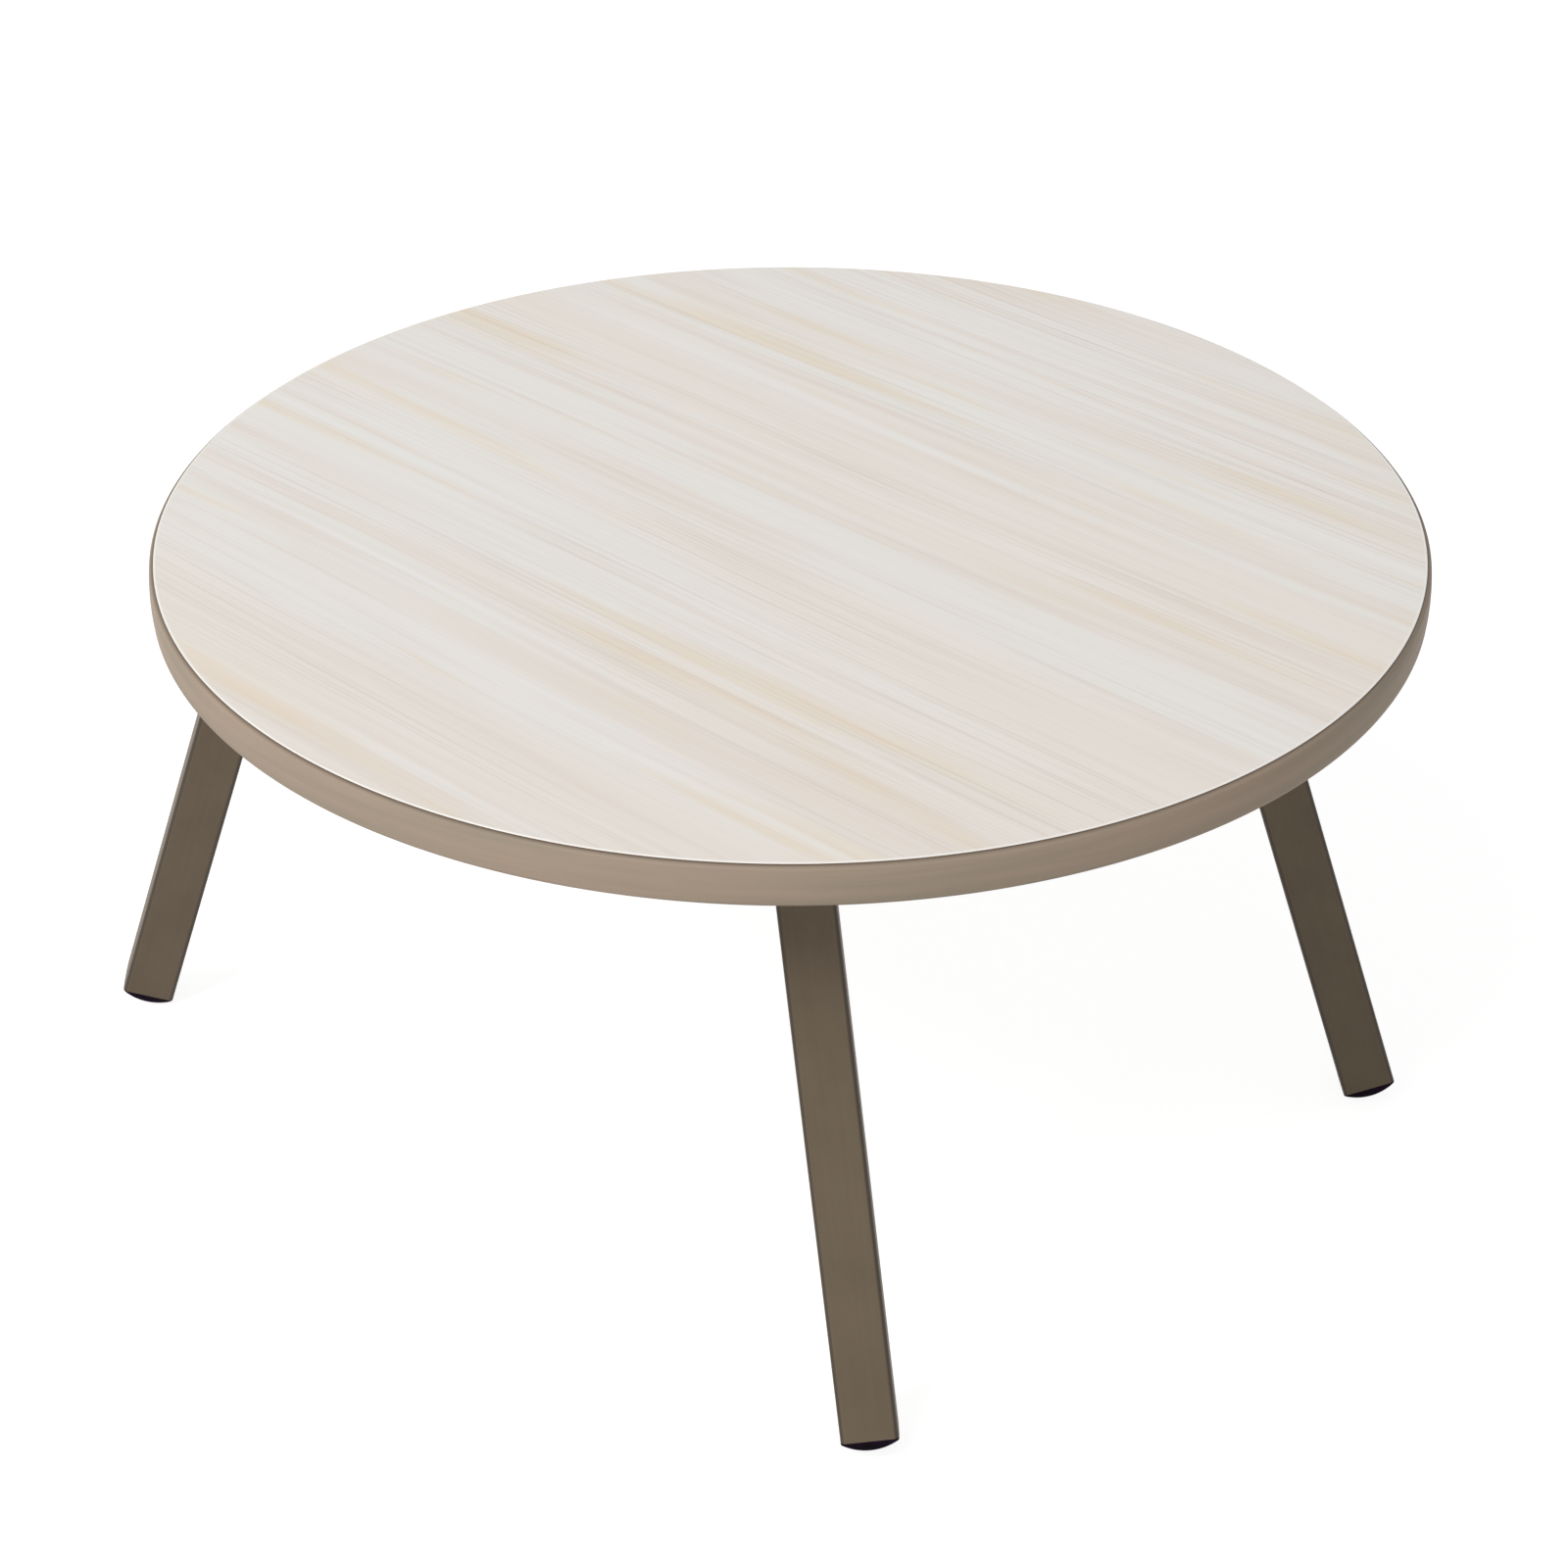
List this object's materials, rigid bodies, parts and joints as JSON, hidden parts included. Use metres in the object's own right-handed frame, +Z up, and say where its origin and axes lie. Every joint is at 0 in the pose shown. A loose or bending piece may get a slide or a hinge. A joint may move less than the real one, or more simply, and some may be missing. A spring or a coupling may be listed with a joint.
{
  "type": "chabudai folding low table",
  "caption": "Low round floor table: laminated top with a rounded edge moulding, on splayed square steel legs that fold flat under it one by one.",
  "frame": {"origin": "on the floor, below the centre of the round top, at the bottom centre of the bounding box", "axes": "+Z up; +X along the wood grain and the long side of the rectangle of legs; the front is -Y"},
  "size_m": [0.605, 0.605, 0.3],
  "materials": {
    "whitewashed_laminate": "satin, whitewashed wood grain",
    "particle_board": "sawn",
    "backing_laminate": "matte",
    "edge_band": "satin",
    "powder_coated_steel": "fine-grained powder coat, brown",
    "black_plastic": "satin",
    "zinc_plated_steel": "bright zinc",
    "spring_steel": "oiled",
    "nylon": "natural"
  },
  "bodies": {
    "tabletop": {"top_core": "particle_board", "top_laminate": "whitewashed_laminate", "backing_laminate": "backing_laminate", "edge_band": "edge_band", "leg_bracket_front_left": "powder_coated_steel", "leg_bracket_front_right": "powder_coated_steel", "leg_bracket_rear_left": "powder_coated_steel", "leg_bracket_rear_right": "powder_coated_steel", "detent_spring_front_left": "spring_steel", "detent_spring_front_right": "spring_steel", "detent_spring_rear_left": "spring_steel", "detent_spring_rear_right": "spring_steel", "pivot_bolts": "zinc_plated_steel", "pivot_nuts": "zinc_plated_steel", "pivot_washers": "nylon", "bracket_screws": "zinc_plated_steel", "spring_rivets": "zinc_plated_steel"},
    "leg_front_left": {"leg_tube_front_left": "powder_coated_steel", "foot_plug_front_left": "black_plastic", "top_cap_front_left": "black_plastic", "pivot_sleeve_front_left": "zinc_plated_steel"},
    "leg_front_right": {"leg_tube_front_right": "powder_coated_steel", "foot_plug_front_right": "black_plastic", "top_cap_front_right": "black_plastic", "pivot_sleeve_front_right": "zinc_plated_steel"},
    "leg_rear_left": {"leg_tube_rear_left": "powder_coated_steel", "foot_plug_rear_left": "black_plastic", "top_cap_rear_left": "black_plastic", "pivot_sleeve_rear_left": "zinc_plated_steel"},
    "leg_rear_right": {"leg_tube_rear_right": "powder_coated_steel", "foot_plug_rear_right": "black_plastic", "top_cap_rear_right": "black_plastic", "pivot_sleeve_rear_right": "zinc_plated_steel"}
  },
  "joints": [
    {"name": "fold_front_right", "type": "hinge", "parent": "tabletop", "child": "leg_front_right", "pos_m": [0.16425, -0.16535, 0.2606], "axis": [0.7026, 0.7026, 0.1132], "range_deg": [0, 107.5], "deforming": ["detent_spring_front_right"]},
    {"name": "fold_rear_left", "type": "hinge", "parent": "tabletop", "child": "leg_rear_left", "pos_m": [-0.19425, 0.13235, 0.2606], "axis": [-0.7026, -0.7026, 0.1132], "range_deg": [0, 107.5], "deforming": ["detent_spring_rear_left"]},
    {"name": "fold_front_left", "type": "hinge", "parent": "tabletop", "child": "leg_front_left", "pos_m": [-0.19425, -0.16535, 0.2606], "axis": [0.7026, -0.7026, -0.1132], "range_deg": [0, 99], "deforming": ["detent_spring_front_left"]},
    {"name": "fold_rear_right", "type": "hinge", "parent": "tabletop", "child": "leg_rear_right", "pos_m": [0.16425, 0.13235, 0.2606], "axis": [-0.7026, 0.7026, -0.1132], "range_deg": [0, 99], "deforming": ["detent_spring_rear_right"]}
  ]
}
